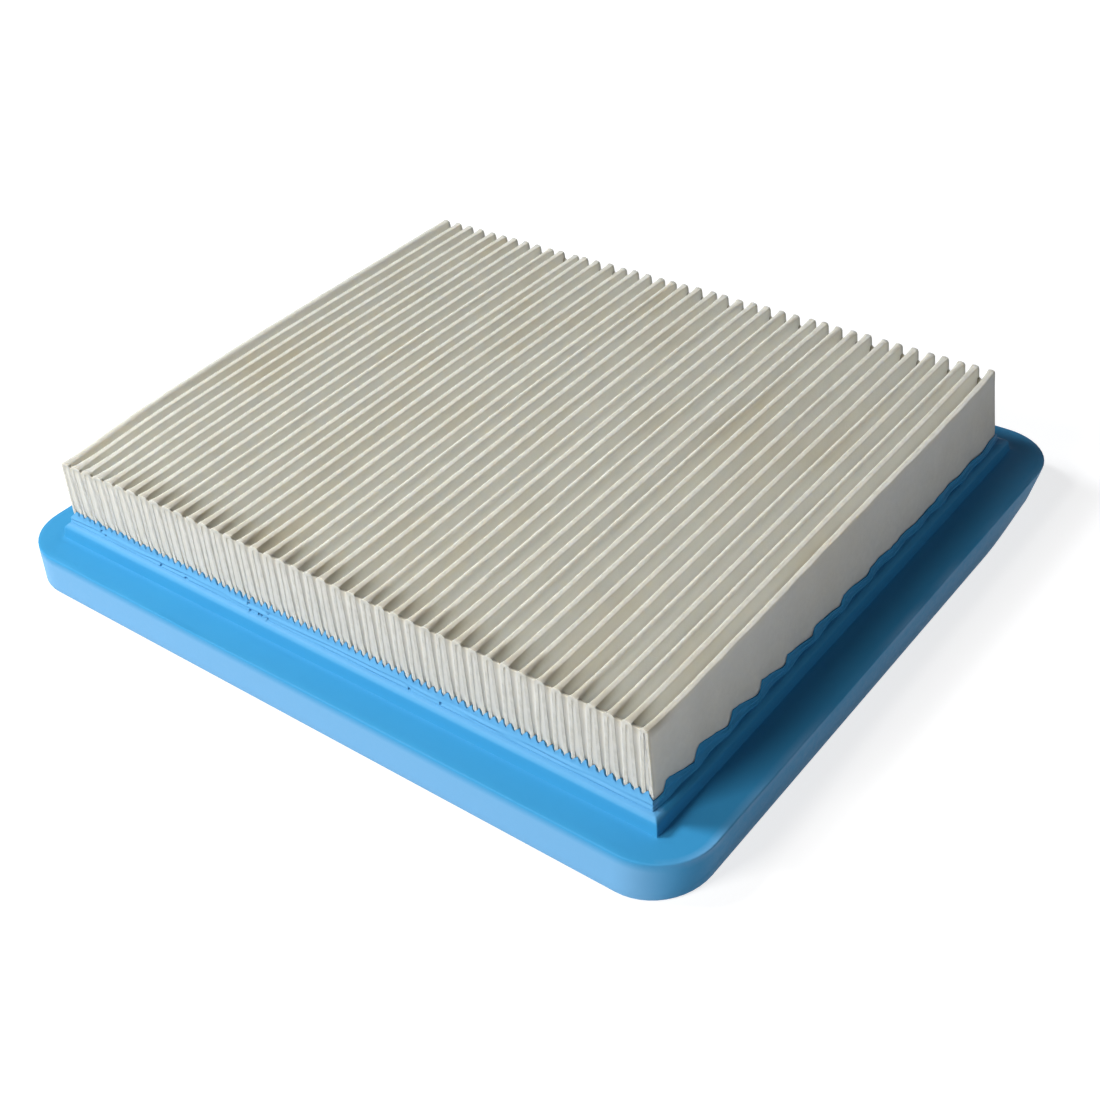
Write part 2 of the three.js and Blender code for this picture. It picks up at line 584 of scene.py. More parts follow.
def polyurethane_material(sizes):
    """Soft polyurethane elastomer, cast in an open mould.

    A satin skin in one strong blue, with faint flow marks, a slightly uneven gloss and painted
    sheen.
    """
    material, tree = new_material("Cast polyurethane elastomer")
    place = add_node(tree, "ShaderNodeTexCoord").outputs["Object"]
    # Faint clouds in the pigment, about 12 mm across.
    clouds = add_node(
        tree,
        "ShaderNodeTexNoise",
        {"Scale": 1 / (12 * MM), "Detail": 2.0, "Roughness": 0.5},
        {"Vector": place},
    )
    cloud_share = add_node(
        tree,
        "ShaderNodeMapRange",
        {"From Min": 0.35, "From Max": 0.65, "To Min": 0.0, "To Max": 0.2},
        {"Value": clouds.outputs["Fac"]},
    )
    base = add_node(
        tree,
        "ShaderNodeMix",
        {"data_type": "RGBA", 6: tuple(sizes.moulding), 7: colour("#3386BA")},
        {0: cloud_share.outputs["Result"]},
    )
    # Painted sheen: the lit sides and the end bands are paled, with highlights on the right upper
    # edge.
    cast = add_node(tree, "ShaderNodeAttribute", {"attribute_name": "painted_sheen"})
    painted_sheen_mix = add_node(
        tree,
        "ShaderNodeMix",
        {"data_type": "RGBA", 7: tuple(sizes.painted_sheen_colour)},
        {0: cast.outputs["Fac"], 6: base.outputs[2]},
    )
    # The skin copies the mould's grain, which is too fine to show and is drawn 0.4 mm across.
    grain = add_node(
        tree,
        "ShaderNodeTexNoise",
        {"Scale": 1 / (0.8 * MM), "Detail": 3.0, "Roughness": 0.6},
        {"Vector": place},
    )
    gloss = add_node(
        tree,
        "ShaderNodeMapRange",
        {"From Min": 0.3, "From Max": 0.7, "To Min": 0.42, "To Max": 0.54},
        {"Value": grain.outputs["Fac"]},
    )
    bump = add_node(
        tree,
        "ShaderNodeBump",
        {"Strength": 0.12, "Distance": 0.06 * MM},
        {"Height": grain.outputs["Fac"]},
    )
    surface = add_node(
        tree,
        "ShaderNodeBsdfPrincipled",
        {"IOR": 1.5, "Specular IOR Level": 0.1},
        {
            "Base Color": painted_sheen_mix.outputs[2],
            "Roughness": gloss.outputs["Result"],
            "Normal": bump.outputs["Normal"],
        },
    )
    add_node(
        tree, "ShaderNodeOutputMaterial", None, {"Surface": surface.outputs["BSDF"]}
    )
    return material


def glue_material(sizes):
    """Hot-melt adhesive, run into the pleat ends and set.

    An off-white wax-like skin, a little smoother than the paper round it, painted tan on top as
    shade.
    """
    material, tree = new_material("Hot-melt adhesive")
    place = add_node(tree, "ShaderNodeTexCoord").outputs["Object"]
    lumps = add_node(
        tree,
        "ShaderNodeTexNoise",
        {"Scale": 1 / (1.5 * MM), "Detail": 2.0, "Roughness": 0.5},
        {"Vector": place},
    )
    lump_share = add_node(
        tree,
        "ShaderNodeMapRange",
        {"From Min": 0.3, "From Max": 0.7, "To Min": 0.0, "To Max": 0.3},
        {"Value": lumps.outputs["Fac"]},
    )
    base = add_node(
        tree,
        "ShaderNodeMix",
        {"data_type": "RGBA", 6: tuple(sizes.glue), 7: colour("#B9B7AE")},
        {0: lump_share.outputs["Result"]},
    )
    # Painted shade: the top face of each finger is painted tan.
    upper = add_node(tree, "ShaderNodeAttribute", {"attribute_name": "upper"})
    top_shade_toned = add_node(
        tree,
        "ShaderNodeMix",
        {"data_type": "RGBA", 7: tuple(sizes.painted_shade_tone)},
        {0: upper.outputs["Fac"], 6: base.outputs[2]},
    )
    bump = add_node(
        tree,
        "ShaderNodeBump",
        {"Strength": 0.2, "Distance": 0.12 * MM},
        {"Height": lumps.outputs["Fac"]},
    )
    surface = add_node(
        tree,
        "ShaderNodeBsdfPrincipled",
        {
            "Roughness": 0.6,
            "IOR": 1.48,
            "Specular IOR Level": 0.2,
            "Subsurface Weight": 1.0,
            "Subsurface Radius": SCATTER_RADIUS,
            "Subsurface Scale": SCATTER_SCALE,
        },
        {"Base Color": top_shade_toned.outputs[2], "Normal": bump.outputs["Normal"]},
    )
    add_node(
        tree, "ShaderNodeOutputMaterial", None, {"Surface": surface.outputs["BSDF"]}
    )
    return material


# How brightly the board glows where it is seen, which takes it to white outside the shadow.
FLOOR_GLOW = 0.78


def floor_material():
    """Matt paint on a board, which is white where it is seen and grey to all other light."""
    material, tree = new_material("Matt white board")
    seen = seen_share(tree)
    shade = add_node(
        tree,
        "ShaderNodeMix",
        {"data_type": "RGBA", 6: colour("#D2D2D2"), 7: colour("#A6A6A6")},
        {0: seen},
    )
    matt = add_node(
        tree, "ShaderNodeBsdfDiffuse", None, {"Color": shade.outputs[2]}
    )
    glow_share = add_node(
        tree,
        "ShaderNodeMath",
        {"operation": "MULTIPLY", 1: FLOOR_GLOW},
        {0: seen},
    )
    glow = add_node(
        tree,
        "ShaderNodeEmission",
        {"Color": (1.0, 1.0, 1.0, 1.0)},
        {"Strength": glow_share.outputs[0]},
    )
    both = add_node(
        tree,
        "ShaderNodeAddShader",
        None,
        {0: matt.outputs["BSDF"], 1: glow.outputs["Emission"]},
    )
    add_node(
        tree, "ShaderNodeOutputMaterial", None, {"Surface": both.outputs["Shader"]}
    )
    return material


# ---------------------------------------------------------------------------
# The folded sheet's form, which the frame and the glue follow too
# ---------------------------------------------------------------------------

HALF_LENGTH = PACK_HIGH.x
HALF_WIDTH = PACK_HIGH.y
PACK_BASE = PACK_LOW.z
PACK_TOP = PACK_HIGH.z

# The height where the frame takes hold of the pack. Below it the folds stand evenly.
GRIP_HEIGHT = 11 * MM

# The height of the sheet's turn at a ridge and at the bottom of a valley, and how round it is.
TURN_HEIGHT = 0.3 * MM
TURN_ROUNDNESS = 0.7

# The first pleats from the left were pressed flat at the front, each less than the one before.
PRESSED_PLEATS = 24
PRESSED_REACH = 0.45 * MM

# A wall's bulge is full this share of its height below the ridge, and fades towards the foot.
SHOULDER_SHARE = 0.14
SHOULDER_REACH = 0.2 * MM

# The pack's two outermost walls spread at the foot, and the left one stands out all the way up.
FOOT_SPREAD = 0.5 * MM
LEFT_SPREAD = 0.3 * MM

# How uneven the ridges and the walls are.
RIDGE_RIPPLE = 0.06 * MM
RIDGE_DENT = 0.012 * MM
WALL_DENT = 0.02 * MM
OUTER_WALL_DENT = 0.12 * MM


def above_grip(z):
    """0 where the frame takes hold of the pack and 1 at the height of its ridges."""
    return (z - GRIP_HEIGHT) / (PACK_TOP - GRIP_HEIGHT)


def along_pleats(y):
    """0 at the front ends of the pleats and 1 at their rear ends."""
    return (y + HALF_WIDTH) / (2 * HALF_WIDTH)


class Folds:
    """Where the paper's middle line runs in each pleat, at any place along it."""

    def __init__(self, sizes, lobe_spacing):
        chance = random.Random(sizes.seed)
        self.count = sizes.pleat_count
        self.half_paper = sizes.thickness / 2
        self.pitch = (2 * HALF_LENGTH - sizes.ridge_width) / (self.count - 1)
        self.ridge_reach = sizes.ridge_width / 2 - self.half_paper
        self.end_reach = sizes.end_ridge_width / 2 - sizes.cut_thickness / 2
        self.foot_reach = self.pitch / 2 - sizes.valley_hollow / 2 - self.half_paper
        self.ridge_line = PACK_TOP - self.half_paper
        self.foot_line = PACK_BASE + self.half_paper
        self.crown = sizes.crown
        self.droop = sizes.droop
        self.side_bulge = sizes.side_bulge
        self.lobe_spacing = lobe_spacing
        self.front = [chance.gauss(0, 0.5) * sizes.front_wander for _ in range(self.count)]
        self.back = [chance.gauss(0, 0.6) * sizes.back_wander for _ in range(self.count)]
        self.rise = [chance.gauss(0, 0.06) * MM for _ in range(self.count)]

    def centre(self, pleat):
        """The even place of a ridge, across the pleats."""
        return (pleat - (self.count - 1) / 2) * self.pitch

    def end_share(self, y, depth):
        """1 at either end of the pleats, fading out over a depth."""
        return math.exp(-(HALF_WIDTH - min(abs(y), HALF_WIDTH)) / depth)

    def reach(self, pleat, y, z):
        """How far each wall of a pleat stands from the pleat's centre."""
        # The pleats were pressed flat where they are glued at the front, most at the left.
        flat = between(0.2, 1.0, self.pressed_share(pleat)) if y < 0 else 0.0
        pressed = self.end_reach + PRESSED_REACH * flat
        glued = self.end_share(y, between(2.2, 3.4, flat) * MM)
        ridge = between(self.ridge_reach, pressed, glued)
        share = (self.ridge_line - z) / (self.ridge_line - self.foot_line)
        # The walls bulge below the ridge, and stand straighter where glue holds them.
        share = clamp(share)
        reach = between(ridge, self.foot_reach, share ** between(0.8, 1.25, glued))
        shoulder = ease(share / SHOULDER_SHARE) * (1 - share)
        return reach + SHOULDER_REACH * shoulder * (1 - glued)

    def pressed_share(self, pleat):
        """1 at the leftmost pleat, fading to 0 past the last of the pressed ones."""
        return 1 - ease(pleat / PRESSED_PLEATS)

    def sway(self, pleat, y, z):
        """How far a pleat's walls stand off their even place at that height."""
        drift = between(self.front[pleat], self.back[pleat], along_pleats(y))
        drift += RIDGE_RIPPLE * wander(y / (28 * MM), pleat * 3.71)
        return drift * ease(above_grip(z))

    def outer_wall(self, side, y, z):
        """The middle line of the outermost wall on one side, as a distance from the middle."""
        lean = 1 - clamp(above_grip(z))
        line = HALF_LENGTH - self.half_paper + FOOT_SPREAD * lean
        if side > 0:
            line -= between(0.15, 0.4, lean) * MM * self.end_share(y, 2.4 * MM)
        else:
            line += LEFT_SPREAD
        wave = math.sin(2 * math.pi * (y + 41 * MM) / self.lobe_spacing)
        line += between(0.05, 0.16, lean) * MM * wave * (1 - self.end_share(y, 5 * MM))
        line += OUTER_WALL_DENT * wander(y / (16 * MM), z / (9 * MM), side * 7.3)
        return line

    def settle(self, point):
        """Moves a point of the even pack to where the sagged and bulged pack has it."""
        x, y, z = point
        height = ease(above_grip(z))
        along = along_pleats(y)
        from_left = x + HALF_LENGTH
        from_right = HALF_LENGTH - x
        # The rear of the pack stands proud, most of all right of its middle.
        spread = 0.78 + 0.22 * math.cos(math.pi * (x - 17 * MM) / (70 * MM))
        z += self.crown * height * spread * ease(along * 1.5)
        # The front left corner sags.
        corner = from_left ** 2 / (15 * MM) ** 2 + (y + HALF_WIDTH) ** 2 / (12 * MM) ** 2
        z -= self.droop * height * math.exp(-corner)
        # The left side bulges out, and both right corners are pushed in, the rear one further.
        x -= self.side_bulge * height * math.exp(-abs(from_left) / (12 * MM)) * ease(along * 2)
        for end, push, across, back in ((1, 0.5, 8, 9), (-1, 0.25, 6, 5)):
            near = math.exp(-abs(from_right) / (across * MM))
            near *= math.exp((end * y - HALF_WIDTH) / (back * MM))
            x -= push * MM * near * height
        # The ends of the pleats stand further out where the frame holds them.
        low = 1 - clamp(above_grip(z))
        y *= 1 + 0.4 * MM * low / HALF_WIDTH
        return Vector((x, y, z))

    def wall_point(self, pleat, side, y, z):
        """A point on the middle of one wall of a pleat."""
        outermost = (pleat == 0 and side < 0) or (pleat == self.count - 1 and side > 0)
        if outermost:
            x = side * self.outer_wall(side, y, z)
        else:
            x = self.centre(pleat) + side * self.reach(pleat, y, z)
            x += self.sway(pleat, y, z)
            x += WALL_DENT * wander(y / (18 * MM), z / (6 * MM), pleat * 2.3 + side)
        return self.settle((x, y, z))

    def ridge_point(self, pleat, turn, y):
        """A point on a ridge: the turn runs from -90 degrees at its left wall to 90."""
        start = self.ridge_line - TURN_HEIGHT
        left = self.wall_point(pleat, -1, y, start)
        right = self.wall_point(pleat, 1, y, start)
        share = (math.sin(turn) + 1) / 2
        point = left.lerp(right, share)
        point.z += TURN_HEIGHT * math.cos(turn) ** TURN_ROUNDNESS
        point.z += self.rise[pleat] + RIDGE_DENT * wander(y / (7 * MM), pleat * 1.9)
        return point

    def grip_places(self):
        """Where the walls stand across the pleats at the height of the band's edge."""
        places = []
        for pleat in range(self.count):
            reach = self.reach(pleat, HALF_WIDTH, GRIP_HEIGHT)
            places.append(self.centre(pleat) - reach)
            places.append(self.centre(pleat) + reach)
        return places

    def valley_point(self, pleat, y):
        """The bottom of the valley on the right of a pleat."""
        start = self.foot_line + TURN_HEIGHT
        left = self.wall_point(pleat, 1, y, start)
        right = self.wall_point(pleat + 1, -1, y, start)
        point = left.lerp(right, 0.5)
        point.z -= TURN_HEIGHT
        return point


# The places up a wall where the sheet gets a line of vertices, from its foot to its ridge.
WALL_SHARES = (0.0, 0.45, 0.86, 0.94, 1.0)
# The places round a ridge, each with how much painted shade it gets, the lit left side most.
RIDGE_TURNS = ((-48.0, 1.0), (0.0, 0.9), (48.0, 0.45))
SHEET_ROWS = 80
# How much closer together the sheet's rows of vertices stand at its ends than in its middle.
ROW_CROWDING = 1.2


def sheet_lines(folds):
    """The sheet's lines from its left edge to its right one.

    Each is a function of y, with how much painted shade the line gets.
    """
    foot = folds.foot_line + TURN_HEIGHT
    ridge = folds.ridge_line - TURN_HEIGHT
    lines = []
    for pleat in range(folds.count):
        for share in WALL_SHARES:
            height = between(foot, ridge, share)
            # The top line of each left wall and all of the leftmost wall get half the painted
            # shade.
            painted_shade = 0.5 if share == 1.0 or pleat == 0 else 0.0
            lines.append((lambda y, p=pleat, z=height: folds.wall_point(p, -1, y, z), painted_shade))
        for turn, painted_shade in RIDGE_TURNS:
            angle = math.radians(turn)
            lines.append((lambda y, p=pleat, a=angle: folds.ridge_point(p, a, y), painted_shade))
        for share in reversed(WALL_SHARES):
            height = between(foot, ridge, share)
            # Painted shade on the pack's right face: greyer at its foot and less so higher up.
            painted_shade = 0.0 if pleat < folds.count - 1 else between(0.5, 0.22, (share - 0.45) / 0.55)
            lines.append((lambda y, p=pleat, z=height: folds.wall_point(p, 1, y, z), painted_shade))
        if pleat < folds.count - 1:
            lines.append((lambda y, p=pleat: folds.valley_point(p, y), 0.0))
    return lines


def row_place(row):
    """The place of a row along the pleats, with the rows closer together at both ends."""
    share = 2 * row / (SHEET_ROWS - 1) - 1
    return HALF_WIDTH * math.tanh(ROW_CROWDING * share) / math.tanh(ROW_CROWDING)


def add_piece(name, bm, material):
    """Makes an object of a finished bmesh, with its place in its mesh."""
    mesh = bpy.data.meshes.new(name)
    bm.to_mesh(mesh)
    bm.free()
    mesh.materials.append(material)
    piece = bpy.data.objects.new(name, mesh)
    bpy.context.scene.collection.objects.link(piece)
    return piece


def bake_modifiers(piece):
    """Puts the result of a piece's modifiers in its mesh."""
    graph = bpy.context.evaluated_depsgraph_get()
    shaped = bpy.data.meshes.new_from_object(piece.evaluated_get(graph))
    shaped.name = piece.name
    plain = piece.data
    piece.modifiers.clear()
    piece.data = shaped
    bpy.data.meshes.remove(plain)


def grow(bm, loop, place):
    """Extrudes a loop of edges, puts each new vertex in its place and gives the new loop."""
    grown = bmesh.ops.extrude_edge_only(bm, edges=loop)["geom"]
    for part in grown:
        if isinstance(part, bmesh.types.BMVert):
            part.co = place(part)
    return [part for part in grown if isinstance(part, bmesh.types.BMEdge)]


def smooth_shading(piece, angle):
    """Shades a piece smoothly, with edges above that angle in degrees kept sharp."""
    for face in piece.data.polygons:
        face.use_smooth = True
    piece.data.set_sharp_from_angle(angle=math.radians(angle))


def finish_piece(piece, slot, *nodes):
    """Lets a piece ride on the element and stand for its CAD nodes."""
    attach(piece, BODY)
    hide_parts(*nodes)


# ---------------------------------------------------------------------------
# The frame
# ---------------------------------------------------------------------------


def side_places(folds):
    """Places along the frame's long sides as shares: at each paper wall and three between."""
    walls = folds.grip_places()
    half = walls[-1]
    places = []
    for here, following in zip(walls, walls[1:]):
        for share in (0.0, 0.25, 0.5, 0.75):
            places.append(between(here, following, share) / half)
    places.append(1.0)
    places[0] = -1.0
    return places


def outline_stations(folds):
    """Places round the frame, each as shares of the straight sides and a direction outwards."""
    long_places = side_places(folds)
    short_count = 160
    short_places = [2 * step / short_count - 1 for step in range(short_count + 1)]
    corner_steps = 12
    sides = (
        [(1, place, 1, 0) for place in short_places],
        [(place, 1, 0, 1) for place in reversed(long_places)],
        [(-1, place, -1, 0) for place in reversed(short_places)],
        [(place, -1, 0, -1) for place in long_places],
    )
    corners = ((1, 1), (-1, 1), (-1, -1), (1, -1))
    stations = []
    for quarter in range(4):
        stations.extend(sides[quarter])
        across, along = corners[quarter]
        for step in range(1, corner_steps):
            angle = math.pi / 2 * (quarter + step / corner_steps)
            stations.append((across, along, math.cos(angle), math.sin(angle)))
    return stations


# How the cast flange departs from an even one. Its left side stands out and up at the top. Its
# right side is drawn in at the foot and leans out, and its rear right corner is undercut both
# ways. Its rear side gives back some of its draft.
LEFT_OVERHANG = 0.1 * MM
LEFT_RISE = 0.15 * MM
RIGHT_FOOT_REACH = 0.4 * MM
RIGHT_OVERHANG = 0.45 * MM
REAR_GIVE = 0.4 * MM
CORNER_UNDERCUT_X = 1.3 * MM
CORNER_UNDERCUT_Y = 2 * MM
# The rear right corner's undercut starts this far behind the middle, and grows over the depth.
UNDERCUT_START = 30 * MM
UNDERCUT_DEPTH = 24 * MM

# How far in from the flange's outline its top runs, and the outline's corner radius there.
LAND_REACH = 5.75 * MM
LAND_CORNER = 0.8 * MM

# The curb's corner radius, and how far its walls wander.
CURB_CORNER = 0.15 * MM
CURB_WAVE = 0.04 * MM

# The curb's section from the flange to the band's crease. Each ring has how far it stands out
# past the foot at the sides and at the ends, and its height above the flange or the ledge, all
# in millimetres.
FOOT_SECTION = ((0.25, 0.75, 0.0), (0.05, 0.55, 0.06), (-0.03, 0.45, 0.3), (-0.12, 0.25, 1.0))
LEDGE_SECTION = (
    (-0.22, 0.1, -0.5),
    (-0.27, 0.05, -0.38),
    (-0.38, -0.05, -0.22),
    (-0.75, -0.45, 0.1),
    (-0.9, -0.6, 0.16),
)

# The height of the band's crease above the ledge, and the steps from there to the band's edge.
CREASE_RISE = 0.25 * MM
BAND_STEPS = 20
# How far out from the pack the line lies along which the height of the band's edge is found.
BAND_LINE = 0.4 * MM

# The corner radius of the frame's inner wall, how far in from the pleats' ends it lies, and the
# heights of its rings below the band.
INNER_CORNER = 0.1 * MM
INNER_DEPTH = 0.9 * MM
INNER_HEIGHTS = (9.0 * MM, 5.0 * MM)


def within_pack(y):
    """The place nearest to y that lies along the pleats."""
    return min(max(y, -HALF_WIDTH), HALF_WIDTH)


class Moulding:
    """The frame's section, ring by ring, from its lower outer edge over the top and back."""

    def __init__(self, sizes, folds):
        self.sizes = sizes
        self.folds = folds
        self.walls = folds.grip_places()

    def even_ring(self, inset, radius, height, lean=0.0):
        """A ring at an inset from the frame's widest outline.

        A side's draft makes it lean in, and the lean gives that back on the left and the right.
        """

        def place(station):
            across, along, out_x, out_y = station
            level = height / self.sizes.flange_height
            left = max(-out_x, 0.0) * level
            right = max(out_x, 0.0)
            x = across * (FRAME_HIGH.x - inset - radius) + out_x * radius
            x -= left * (lean + LEFT_OVERHANG)
            x += right * between(-RIGHT_FOOT_REACH, lean + RIGHT_OVERHANG, level)
            y = along * (FRAME_HIGH.y - inset - radius) + out_y * radius
            corner = right * ease((y - UNDERCUT_START) / UNDERCUT_DEPTH)
            rear = max(out_y, 0.0)
            x -= corner * CORNER_UNDERCUT_X * (1 - level)
            y += rear * REAR_GIVE * level
            y -= corner * rear * CORNER_UNDERCUT_Y * (1 - level)
            return Vector((x, y, height + LEFT_RISE * left))

        return place

    def curb_ring(self, side_reach, end_reach, height):
        """A ring of the curb, by how far it stands out from the pack on its two kinds of side."""
        radius = CURB_CORNER

        def place(station):
            across, along, out_x, out_y = station
            x = across * (HALF_LENGTH + side_reach - radius) + out_x * radius
            y = along * (HALF_WIDTH + end_reach - radius) + out_y * radius
            wave = CURB_WAVE * wander(x / (11 * MM), y / (11 * MM), height / (2 * MM))
            return Vector((x + wave * out_x, y + wave * out_y, height))

        return place

    def lobe(self, side, y):
        """The height where the band ends on the pack's side: lobes that crept up the paper.

        It is worked out in millimetres. Each lobe climbs fast and falls away slowly.
        """
        start = 44 * MM if side < 0 else 47 * MM
        climb = 0.12
        y += 1.3 * MM * wander(y / (11 * MM), side * 6.1)
        count = (y + start) / self.sizes.lobe_spacing
        index = math.floor(count)
        share = count - index
        fall = 1.3 + 0.9 * wander(index * 2.31, side * 4.9)
        rise = ease(share / climb) if share < climb else (1 - (share - climb) / (1 - climb)) ** fall
        fade = 1 - 0.85 * ease((y + 22 * MM) / (45 * MM))
        size = 1.65 + 0.6 * wander(index * 1.73, side * 3.1)
        low = 10.35 + 0.5 * wander(index * 0.91 + share * 0.5, side * 5.7)
        corner = ease((HALF_WIDTH - abs(y)) / (1.4 * MM))
        height = low + size * fade * rise * corner
        height += 0.3 * wander(y / (2.6 * MM), side * 2.2) * corner
        height += 0.08 * wander(y / (0.9 * MM), side * 2.2)
        return height * MM

    def gap_share(self, x):
        """0 where a paper wall meets the band, 1 midway between two walls."""
        index = bisect.bisect(self.walls, x)
        if index == 0 or index == len(self.walls):
            return 0.0
        before = self.walls[index - 1]
        after = self.walls[index]
        return 2 * min(x - before, after - x) / (after - before)

    def edge_height(self, station, x, y):
        """The height of the band's upper edge at a place on the outline, without its teeth."""
        out_x, out_y = station[2], station[3]
        side = self.lobe(math.copysign(1, out_x), y) if out_x else 0.0
        wave = 0.14 * MM * wander(x / (6 * MM), out_y * 4.4)
        end = self.sizes.band_height - 0.35 * MM + wave
        return out_x * out_x * side + out_y * out_y * end

    def tooth(self, station, x):
        """How far the band's edge climbs between two paper walls."""
        out_y = station[3]
        size = 1.0 + 0.4 * wander(x / (1.3 * MM), out_y * 9.1)
        return out_y * out_y * self.gap_share(x) * size * MM

    def band_ring(self, share):
        """A ring of the band, a share of the way from the ledge's crease to its upper edge."""
        radius = CURB_CORNER
        crease = self.sizes.ledge_height + CREASE_RISE

        def place(station):
            across, along, out_x, out_y = station
            x = across * (HALF_LENGTH + BAND_LINE)
            y = along * (HALF_WIDTH + BAND_LINE)
            height = between(crease, self.edge_height(station, x, y), share)
            # The band thins from the crease to a feather edge on the paper.
            thin = 1 - ease((height - crease) / (2.3 * MM)) ** 0.7
            side = self.folds.outer_wall(across, within_pack(y), height)
            side += self.folds.half_paper + between(0.05, 0.5, thin) * MM
            end = HALF_WIDTH + between(0.42, 1.2, thin) * MM
            # Two soft rolls and finer flow lines run along the band.
            roll = math.sin(2 * math.pi * (2 * share + 0.5 * wander(x / (21 * MM), y / (21 * MM))))
            flow = 0.07 * roll + 0.2 * wander(height / (0.45 * MM), x / (7 * MM), y / (7 * MM))
            flow *= MM * ease(share * 4) * ease((1 - share) * 3)
            # Between the paper walls the band climbs and draws back into the gap.
            climb = ease((share - 0.7) / 0.3)
            height += climb * self.tooth(station, x)
            if abs(out_y) > 0.5:
                end -= 0.45 * MM * self.gap_share(x) ** 2 * climb
            x = across * (side + flow - radius) + out_x * radius
            y = along * (end + flow - radius) + out_y * radius
            return Vector((x, y, height))

        return place

    def inner_ring(self, drop, height=None):
        """A ring on the frame's inner wall, hidden in the outermost walls and the pleats' ends."""
        radius = INNER_CORNER

        def place(station):
            across, along, out_x, out_y = station
            x = across * (HALF_LENGTH + BAND_LINE)
            y = along * (HALF_WIDTH + BAND_LINE)
            level = height
            if level is None:
                level = self.edge_height(station, x, y) + self.tooth(station, x) - drop
            side = self.folds.outer_wall(across, within_pack(y), level)
            x = across * (side - radius) + out_x * radius
            y = along * (HALF_WIDTH - INNER_DEPTH - radius) + out_y * radius
            return Vector((x, y, level))

        return place

    def lip_ring(self, inset, radius, height):
        """A ring of the lip, by its distance out from the window's edge."""
        length = HALF_LENGTH - self.sizes.lip_width
        width = HALF_WIDTH - self.sizes.lip_width

        def place(station):
            across, along, out_x, out_y = station
            x = across * (length + inset - radius) + out_x * radius
            y = along * (width + inset - radius) + out_y * radius
            return Vector((x, y, height))

        return place

    def rings(self):
        """Every ring in order."""
        sizes = self.sizes
        top = sizes.flange_height
        edge = sizes.edge_radius
        rim = sizes.rim_radius
        corner = sizes.corner_radius
        rings = []
        # Round the lower edge, up the drafted side and round the upper edge.
        for step in range(4):
            angle = math.radians(30 * step)
            inset = edge * (1 - math.sin(angle))
            height = edge * (1 - math.cos(angle))
            rings.append(self.even_ring(inset, corner - inset, height))
        for share in (0.2, 0.4, 0.6, 0.8):
            height = between(edge, top - rim, share)
            inset = sizes.draft * height / top
            rings.append(self.even_ring(inset, corner - inset, height, sizes.draft))
        for step in range(5):
            angle = math.radians(22.5 * step)
            inset = sizes.draft + rim * (1 - math.cos(angle))
            height = top - rim * (1 - math.sin(angle))
            rings.append(self.even_ring(inset, corner - inset, height, sizes.draft))
        # Across the flange to the foot of the curb.
        start = sizes.draft + rim
        for share in (0.2, 0.4, 0.6, 0.8):
            inset = between(start, LAND_REACH, share)
            lean = sizes.draft * (1 - share)
            radius = between(corner - start, LAND_CORNER, share)
            rings.append(self.even_ring(inset, radius, top, lean))
        # Round the foot, up the lower wall and over the ledge's slope to the crease.
        foot = sizes.foot_reach
        for base, section in ((top, FOOT_SECTION), (sizes.ledge_height, LEDGE_SECTION)):
            for side, end, rise in section:
                rings.append(self.curb_ring(foot + side * MM, foot + end * MM, base + rise * MM))
        for step in range(BAND_STEPS + 1):
            rings.append(self.band_ring(step / BAND_STEPS))
        # Down the inner wall, over the lip and out again below.
        rings.append(self.inner_ring(0.2 * MM))
        lip = sizes.lip_height
        for height in (*INNER_HEIGHTS, lip):
            rings.append(self.inner_ring(0.0, height))
        for inset, radius, height in (
            (0.3, 1.3, lip),
            (0.05, 1.0, lip - 0.1 * MM),
            (0.0, 1.0, lip - 0.3 * MM),
            (0.0, 1.0, 0.3 * MM),
            (0.08, 1.1, 0.08 * MM),
            (0.3, 1.3, 0.0),
            (3.5, 3.0, 0.0),
            (7.0, 5.0, 0.0),
        ):
            rings.append(self.lip_ring(inset * MM, radius * MM, height))
        return rings

    def painted_sheen_share(self, x, y, z):
        """How much painted sheen the skin gets: most on the flange's lit sides."""
        corner = self.sizes.corner_radius
        past_x = max(abs(x) - FRAME_HIGH.x + corner, 0.0)
        past_y = max(abs(y) - FRAME_HIGH.y + corner, 0.0)
        rim = self.sizes.flange_height - self.sizes.rim_radius
        if corner - math.hypot(past_x, past_y) < 0.6 * MM:
            # The right side, in shade, gets none, but its upper edge gets painted highlights in
            # places.
            fade = ease((HALF_LENGTH + 9 * MM - x) / (8 * MM))
            painted_mark = 0.4 + 0.6 * wander(x / (7 * MM), y / (7 * MM), 4.0)
            painted_mask = max(painted_mark, 0.0) * ease((z - rim + 0.4 * MM) / (0.3 * MM)) * (1 - fade)
            return ease((rim + 0.1 * MM - z) / (0.6 * MM)) * fade + painted_mask
        # The band along both ends gets a painted sheen too.
        if abs(y) > HALF_WIDTH:
            return 0.55 * ease((z - self.sizes.ledge_height + 0.6 * MM) / (0.8 * MM))
        return 0.0


def soft_skin(point):
    """How far a cast skin stands off its even height: slow swells and quicker, lower ones."""
    x, y, z = point
    slow = wander(x / (17 * MM), y / (17 * MM), z / (30 * MM))
    quick = wander(x / (6 * MM), y / (6 * MM), z / (20 * MM))
    level = 0.05 * MM * slow + 0.02 * MM * quick
    return Vector((0, 0, level))


# The bubbles' own seed for their random places, how deep their pits are, and the heights above
# the band's crease where they lie, in millimetres.
BUBBLE_SEED = 7
BUBBLE_DEPTH = 0.45 * MM
BUBBLE_HEIGHTS = (0.12, 0.2, 0.35, 0.6, 0.9)


